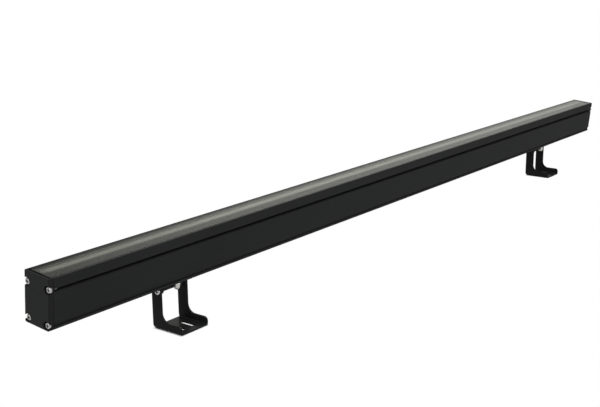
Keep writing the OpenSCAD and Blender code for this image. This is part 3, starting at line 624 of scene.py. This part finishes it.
def pivot_bolt(end, side):
    """Long pan screw through both cheeks of a foot."""
    place = along((-FOOT_W / 2 - HEAD_H, 0, 0), 1, foot_map(side))
    # the shank takes the second material, a darker steel painted as shade
    piece("pivot_bolt_" + end, pan_screw(place, BOLT_R, 0.22, FOOT_W, n=28),
          ["stainless", "shank_steel_painted_shade", "recess_steel_painted_shade"], "foot_" + end, ["pivot_screw_" + end])


def acorn_nut(end, side):
    """Domed nut under a clip: a hexagon with a turned dome on it."""
    profile = np.vstack([[1.55, 1.0], [1.55, 0.0], [2.45, 0.0], arc(2.3, 0.875, -62, 0, 0.875, 4),
                         [3.175, 3.3], [2.75, 3.75], arc(0, 4.15, 0, 88, 2.65, 12)])
    place = along((0, SLOT_Y, WEB_Z - WASHER_T), -2, clip_map(side))
    piece("acorn_nut_" + end, [placed(turned(profile, 72, hexagon(NUT_FLATS), (True, True)), place)],
          ["nickel"], "clip_" + end, ["dome_nut_" + end])


def tee_bolt(end, side):
    """Square head with round corners in the slot's chamber, and a threaded shank through its mouth."""
    lip_top = WEB_Z + SHEET + PLAY + SLOT_LIP + PLAY
    profile = [[0.1, 2.0], [0.93, 2.0], [1.0, 1.85], [1.0, 0.12], [0.95, 0.0], [0.1, 0.0]]
    head = turned(profile, 48, rounded_box(2.7, 2.7, 12), (True, True))
    shank = thread(BOLT_R, 0.2, 0.0, lip_top - WEB_Z + WASHER_T + BOLT_PAST_WASHER)
    piece("tee_bolt_" + end, [placed(head, along((0, SLOT_Y, lip_top), 2, clip_map(side))),
                              placed(shank, along((0, SLOT_Y, lip_top), -2, clip_map(side)))],
          ["stainless"], "clip_" + end, ["slot_bolt_" + end])


def split_washer(end, side):
    """Split ring: a square section (r, u) carried round t from 7 to 353 degrees, which climbs by
    0.12 t / 2 pi."""
    t = np.radians(np.linspace(7, 353, 60))[:, None]
    r, u = np.array([[1.70, 0.05], [1.75, 0.0], [2.65, 0.0], [2.70, 0.05],
                     [2.70, 0.63], [2.65, 0.68], [1.75, 0.68], [1.70, 0.63]]).T
    ring = np.stack([r * np.cos(t), r * np.sin(t), u + 0.12 * t / TAU], -1)
    place = along((0, SLOT_Y, WEB_Z), -2, clip_map(side))
    piece("split_washer_" + end, [placed(surface(ring, caps=(True, True)), place)],
          ["stainless"], "clip_" + end, ["spring_washer_" + end])


for end, side in (("near", -1), ("far", 1)):
    for fastener in (cap_screws, pivot_bolt, acorn_nut, tee_bolt, split_washer):
        fastener(end, side)


# Cable gland on the far cap, its profiles as (radius, distance out from the cap)

def gland_piece(name, shape, look, node_name):
    place = along((BODY_L / 2, 0, GLAND_Z), 1)
    piece(name, [placed(shape, place)], [look], "lamp", [node_name])


def ribbed_hexagon(r, t, u):
    """Hexagon that runs out into a circle: r = min(r, hex) near the cap, with shallow grip ribs on its
    nose, 0.12 (1 + cos(ribs t)) deep."""
    limited = hexagon(GLAND_FLATS)(r, t, u)
    nose = np.clip((u - 10.6) / 0.8, 0, 1) * np.clip((15.4 - u) / 1.2, 0, 1) * (r > 5.5)
    return limited - nose * 0.12 * (1 + np.cos(GRIP_RIBS * t))


trunk = [[6.0, 1.0], [6.9, 1.0], [GLAND_CORNER, 1.5], [GLAND_CORNER, 4.1], [8.2, 4.45], [6.02, 4.5],
         [5.95, 4.6], [5.95, 9.9], [5.6, 10.0], [5.0, 10.0], [5.0, 3.0], [3.9, 3.0], [3.9, -7.4],
         [4.0, -7.5], [5.7, -7.5], [6.0, -7.2], [6.0, 1.0]]
gland_piece("gland_trunk", turned(trunk, 72, hexagon(GLAND_FLATS)), "nylon", "gland_body")

clamp = np.vstack([[5.02, 11.2], [5.02, 10.1], [6.05, 10.1], [6.05, 4.7], [6.9, 4.55], [GLAND_CORNER, 5.05],
                   [GLAND_CORNER, 10.2], [8.1, 10.75], [7.28, 11.05], arc(0, 11.0, 2, 46, 7.3, 10),
                   [4.75, 16.5], [4.3, 16.45], [4.08, 16.2], [4.05, 11.2], [5.02, 11.2]])
gland_piece("gland_clamp", turned(clamp, 144, ribbed_hexagon), "nylon", "gland_nut")

grip = [[3.25, 3.3], [3.5, 3.0], [4.9, 3.0], [4.95, 3.2], [4.95, 10.6], [4.7, 11.0], [3.7, 11.0],
        [3.25, 10.6], [3.25, 3.3]]
gland_piece("gland_grip", turned(grip), "rubber", "gland_seal")

lock = [[6.05, -7.0], [7.0, -7.0], [GLAND_CORNER, -6.5], [GLAND_CORNER, -4.2], [8.1, -4.0], [6.05, -4.0],
        [6.05, -7.0]]
gland_piece("gland_ring_nut", turned(lock, 72, hexagon(GLAND_FLATS)), "nylon", "gland_locknut")


# Inside the lamp

def led_row():
    """Diodes along the light board: a square package, its rim turned in over a fill of phosphor."""
    shell = turned([[0.1, 0.0], [0.98, 0.0], [1.0, 0.04], [1.0, 0.55], [0.94, 0.7], [0.8, 0.7], [0.72, 0.58]],
                   24, rounded_box(1.5, 1.5, 12), (True, False))
    fill = turned([[1.08, 0.58], [0.6, 0.6], [0.1, 0.61]], 24, None, (False, True))
    x = (np.arange(LED_COUNT) + 0.5) * LED_ROW / LED_COUNT - LED_ROW / 2
    places = [along((at, WINDOW_Y, LED_Z), 2) for at in x]
    parts = [placed(shell, place) for place in places] + [placed(fill, place, 1) for place in places]
    piece("led_row", parts, ["led_package", "phosphor"], "lamp", ["leds"])


def driver_components():
    """The driver's blocks in a row: each has a wound coil, a can and a chip with its legs."""
    coil_h, can_h, wire_steps = DRIVER_ROOM - 6.4, DRIVER_ROOM - 3.4, 25
    bobbin = turned([[2.5, 0.1], [2.6, 0.0], [4.9, 0.0], [5.0, 0.1], [5.0, 0.7], [4.9, 0.8], [4.1, 0.8],
                     [4.1, coil_h - 0.8], [4.9, coil_h - 0.8], [5.0, coil_h - 0.7], [5.0, coil_h - 0.1],
                     [4.9, coil_h], [2.6, coil_h], [2.5, coil_h - 0.1], [2.5, 0.1]])
    step = (coil_h - 1.8) / (wire_steps - 1)
    wire = [[4.2 + 0.315 * (k % 2), 0.9 + k * step] for k in range(wire_steps)]
    winding = turned([[4.1, 0.85], *wire, [4.1, coil_h - 0.85]])
    can = turned([[0.1, 0.0], [3.7, 0.0], [4.0, 0.3], [4.0, 1.6], [3.72, 1.9], [4.0, 2.2], [4.0, can_h - 0.4],
                  [3.75, can_h], [3.2, can_h], [3.1, can_h - 0.12], [0.1, can_h - 0.12]], caps=(True, True))
    chip = turned([[0.1, 0.1], [0.93, 0.1], [0.97, 0.9], [0.93, 1.8], [0.1, 1.8]], 32,
                  rounded_box(2.3, 3.0, 14), (True, True))
    leg = turned([[0.05, 0.0], [1.0, 0.0], [1.0, 0.3], [0.05, 0.3]], 12, rounded_box(0.45, 0.2, 10),
                 (True, True))
    parts = []
    pitch = (DRIVER_L - 28.0) / DRIVER_BLOCKS
    for k in range(DRIVER_BLOCKS):
        x = DRIVER_X - DRIVER_L / 2 + (k + 0.5) * pitch
        chip_x = x + pitch / 4 + 3
        coil = along((x - pitch / 4, 0, DRIVER_TOP), 2)
        parts += [placed(bobbin, coil), placed(winding, coil, 1),
                  placed(can, along((x, 2.5, DRIVER_TOP), 2), 2),
                  placed(chip, along((chip_x, 0, DRIVER_TOP), 2))]
        parts += [placed(leg, along((chip_x + dx, dy, DRIVER_TOP), 2), 3)
                  for dx in (-2.55, 2.55) for dy in (-2.0, -0.67, 0.67, 2.0)]
    piece("driver_components", parts, ["components", "enamelled_copper", "can_sleeve", "stainless"], "lamp",
          ["driver_parts"])


def terminal_screws():
    """Three low screw heads on the terminal block."""
    head = turned([[0.05, 0.25], [0.9, 0.25], [1.15, 0.1], [1.2, 0.0], [0.05, 0.0]], 24, None, (True, True))
    x, z, spacing = DRIVER_X + DRIVER_L / 2 - 4.0, DRIVER_TOP + DRIVER_ROOM - 5.4, 14 / 3
    parts = [placed(head, along((x, k * spacing, z), 2)) for k in (-1, 0, 1)]
    piece("terminal_screws", parts, ["stainless"], "lamp")


def feed_wires():
    """Two leads: straight up from the driver, round a quarter circle and level onto the light board."""
    bend, wire_r = 1.2, 0.6
    y, z = WINDOW_Y - WINDOW_W / 2 - 4.0, LED_Z + 0.6
    up = np.stack([np.full(14, y), np.linspace(DRIVER_TOP, z - bend - 0.2, 14)], -1)
    level = np.stack([np.linspace(y + bend + 0.2, y + 3.2, 4), np.full(4, z)], -1)
    route = np.vstack([up, arc(y + bend, z - bend, 180, 90, bend, 9), level])
    parts = [placed(tube(np.insert(route, 0, x, axis=1), wire_r), lamp) for x in (DRIVER_X - 1, DRIVER_X + 1)]
    piece("feed_wires", parts, ["wire_red"], "lamp", ["link_wires"])


led_row()
driver_components()
terminal_screws()
feed_wires()


# Floor, lights and camera

def seen(tree):
    """1 for rays from the camera, by reflection or through glass, to which the floor is plain white."""
    path = node(tree, "ShaderNodeLightPath").outputs
    seen_or_mirrored = calc(tree, "MAXIMUM", path["Is Camera Ray"], path["Is Glossy Ray"])
    return calc(tree, "MAXIMUM", seen_or_mirrored, path["Is Transmission Ray"])


def floor_material():
    """Floor: white to the eye, with a painted contact shadow where what stands on it closes it in, as in a
    foot's slot.
    """
    m = bpy.data.materials.new("stage_floor")
    m.use_nodes = True
    t = m.node_tree
    p = t.nodes["Principled BSDF"]
    p.inputs["Base Color"].default_value = (0.22, 0.22, 0.22, 1)
    p.inputs["Roughness"].default_value = 0.9
    p.inputs["Specular IOR Level"].default_value = 0.0
    # painted contact shadow: the white turns dark grey where occlusion within 4 mm is high
    near = node(t, "ShaderNodeAmbientOcclusion", samples=4, Distance=0.004)
    open_sky = ranged(t, near.outputs["AO"], 0.50, 0.58)
    white = node(t, "ShaderNodeEmission")
    feed(t, white.inputs["Color"], mixed(t, open_sky, grey(0.06), grey(1.0)))
    mix = node(t, "ShaderNodeMixShader")
    feed(t, mix.inputs[0], seen(t))
    feed(t, mix.inputs[1], p.outputs[0])
    feed(t, mix.inputs[2], white.outputs[0])
    feed(t, t.nodes["Material Output"].inputs["Surface"], mix.outputs[0])
    return m


def floor_sheet():
    """Square floor, 12 metres a side."""
    half = 6
    mesh = bpy.data.meshes.new("floor")
    corners = [(-half, -half, 0), (half, -half, 0), (half, half, 0), (-half, half, 0)]
    mesh.from_pydata(corners, [], [(0, 1, 2, 3)])
    floor = bpy.data.objects.new("floor", mesh)
    bpy.context.scene.collection.objects.link(floor)
    mesh.materials.append(floor_material())


def studio():
    """World: white for the camera, and for diffuse light a room that brightens from the horizon up.
    Rays by reflection or through glass see a dim room with a tall soft panel at the back right and a
    bright ceiling, all a little warm."""
    world = bpy.data.worlds.new("studio")
    bpy.context.scene.world = world
    world.use_nodes = True
    t = world.node_tree
    t.nodes.clear()
    direction = node(t, "ShaderNodeSeparateXYZ")
    feed(t, direction.inputs[0], node(t, "ShaderNodeTexCoord").outputs["Generated"])
    x, y, z = direction.outputs
    panel = curve(t, x, [(0.0, 0.12), (0.5, 0.14), (0.587, 0.24), (0.62, 0.30), (0.65, 0.33), (0.71, 0.42),
                         (0.76, 0.445), (0.86, 0.45), (0.905, 0.45), (0.935, 0.35), (1.0, 0.22)])
    panel = calc(t, "MULTIPLY", panel, ranged(t, y, -0.35, 0.1, 0.35, 1.0))
    ceiling, warmth = 0.9, (1.0, 1.005, 0.95)
    mirrored = mixed_value(t, ranged(t, z, 0.55, 0.92, smooth=True), panel, ceiling)
    mirrored = vector(t, "MULTIPLY", mirrored, warmth)
    path = node(t, "ShaderNodeLightPath").outputs
    by_mirror = calc(t, "MAXIMUM", path["Is Glossy Ray"], path["Is Transmission Ray"])
    horizon, overhead = 0.42, 0.9
    room = mixed(t, by_mirror, ranged(t, z, 0.0, 1.0, horizon, overhead), mirrored)
    background = node(t, "ShaderNodeBackground")
    feed(t, background.inputs["Color"], mixed(t, path["Is Camera Ray"], room, grey(1.0)))
    feed(t, node(t, "ShaderNodeOutputWorld").inputs["Surface"], background.outputs[0])


def area(name, at, to, size, power):
    """Rectangular soft light at one point, facing another; metres and watts."""
    data = bpy.data.lights.new(name, "AREA")
    data.shape = "RECTANGLE"
    data.size, data.size_y = size
    data.energy = power
    obj = bpy.data.objects.new(name, data)
    bpy.context.scene.collection.objects.link(obj)
    obj.location = at
    d = np.array(to, float) - np.array(at, float)
    obj.rotation_euler = (math.acos(-d[2] / np.linalg.norm(d)), 0, math.atan2(d[0], -d[1]) + math.pi)


def camera(at, turn, lens):
    """The photo's viewpoint: its place in metres, its turn in degrees and its lens on 36 mm film."""
    data = bpy.data.cameras.new("camera")
    data.sensor_fit = "HORIZONTAL"
    data.sensor_width = 36.0
    data.lens = lens
    data.clip_start = 0.01
    obj = bpy.data.objects.new("camera", data)
    bpy.context.scene.collection.objects.link(obj)
    obj.location = at
    obj.rotation_euler = [math.radians(v) for v in turn]
    bpy.context.scene.camera = obj


floor_sheet()
studio()
area("top_softbox", (0.55, -0.2, 1.4), (0.3, 0, 0), (1.6, 0.8), 7.0)
area("front_softbox", (-0.30, -0.95, 0.35), (-0.25, 0, 0.05), (0.5, 0.4), 4.5)
area("side_softbox", (-1.45, 0.12, 0.3), (-0.5, 0, 0.05), (0.4, 0.4), 3.2)
camera((-0.953474, -0.587365, 0.318424), (75.5956, 0.5469, -52.3857), 61.5298)
bpy.context.scene.view_settings.view_transform = "Standard"
